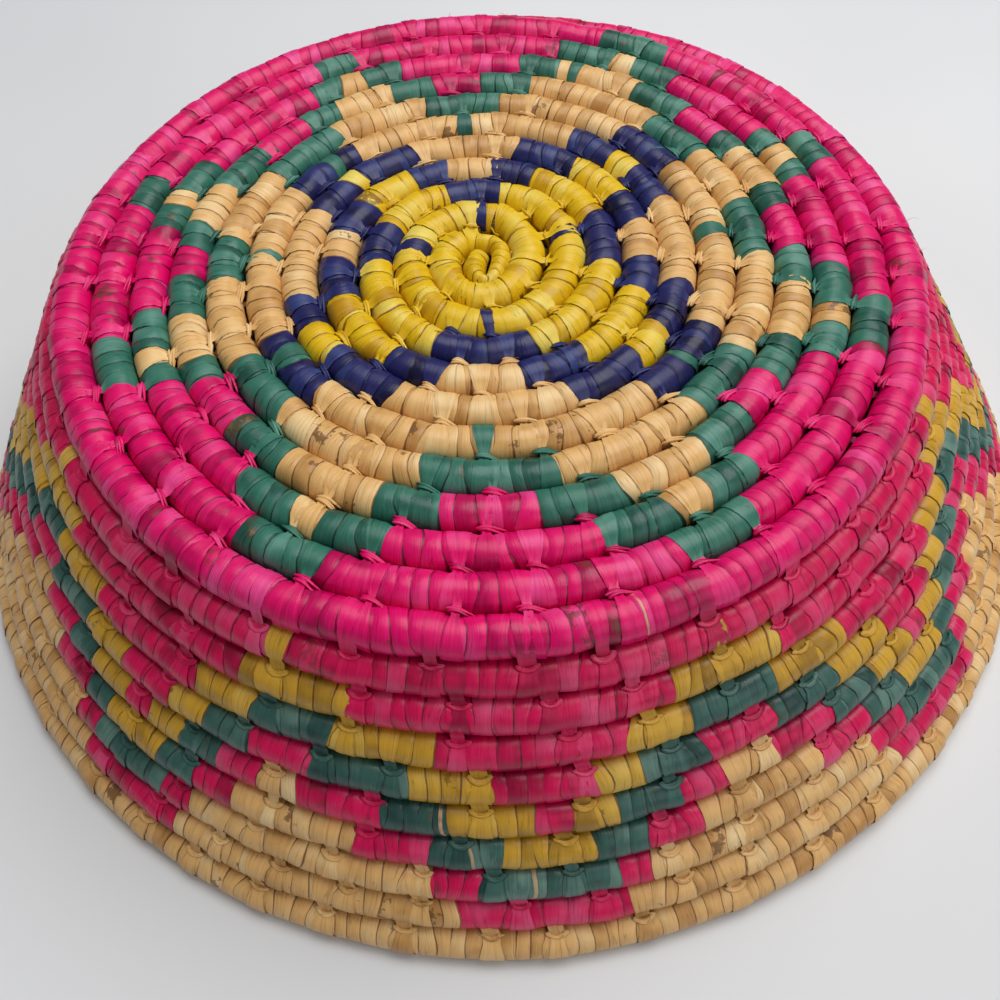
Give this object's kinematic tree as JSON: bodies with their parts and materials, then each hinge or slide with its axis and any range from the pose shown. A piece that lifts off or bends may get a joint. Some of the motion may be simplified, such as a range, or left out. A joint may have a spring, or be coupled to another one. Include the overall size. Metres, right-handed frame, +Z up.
{
  "type": "coiled straw basket bowl",
  "caption": "Round bowl coiled from a grass bundle wrapped in dyed leaf strip, with a flat base, a flaring wall and a level rim. It lies upside down and shows a stepped star pattern.",
  "frame": {"origin": "centre of the rim on the surface it stands on, as the bowl lies upside down", "axes": "+Z up through the base, so the bowl opens towards -Z; the rows hand over to each other 70 degrees from +X towards +Y"},
  "size_m": [0.2914, 0.2912, 0.0745],
  "materials": {
    "grass_bundle": "dry grass stems in a round bundle",
    "yellow_strip": "leaf strip dyed yellow, satin",
    "navy_strip": "leaf strip dyed navy, satin",
    "natural_strip": "undyed leaf strip, satin",
    "green_strip": "leaf strip dyed dark green, satin",
    "magenta_strip": "leaf strip dyed magenta, satin",
    "gold_strip": "leaf strip dyed gold, satin"
  },
  "bodies": {
    "root": {"foundation_coil": "grass_bundle", "coil_start": "yellow_strip", "base_row_01": "yellow_strip", "base_row_02": "yellow_strip", "base_row_03": "navy_strip", "base_row_04": "natural_strip", "base_row_05": "natural_strip", "base_row_06": "natural_strip", "base_row_07": "natural_strip", "base_row_08": "green_strip", "base_row_09": "magenta_strip", "base_row_10": "magenta_strip", "base_row_11": "magenta_strip", "wall_row_01": "magenta_strip", "wall_row_02": "gold_strip", "wall_row_03": "magenta_strip", "wall_row_04": "gold_strip", "wall_row_05": "green_strip", "wall_row_06": "magenta_strip", "wall_row_07": "natural_strip", "wall_row_08": "natural_strip", "rim_row": "natural_strip"}
  },
  "joints": []
}
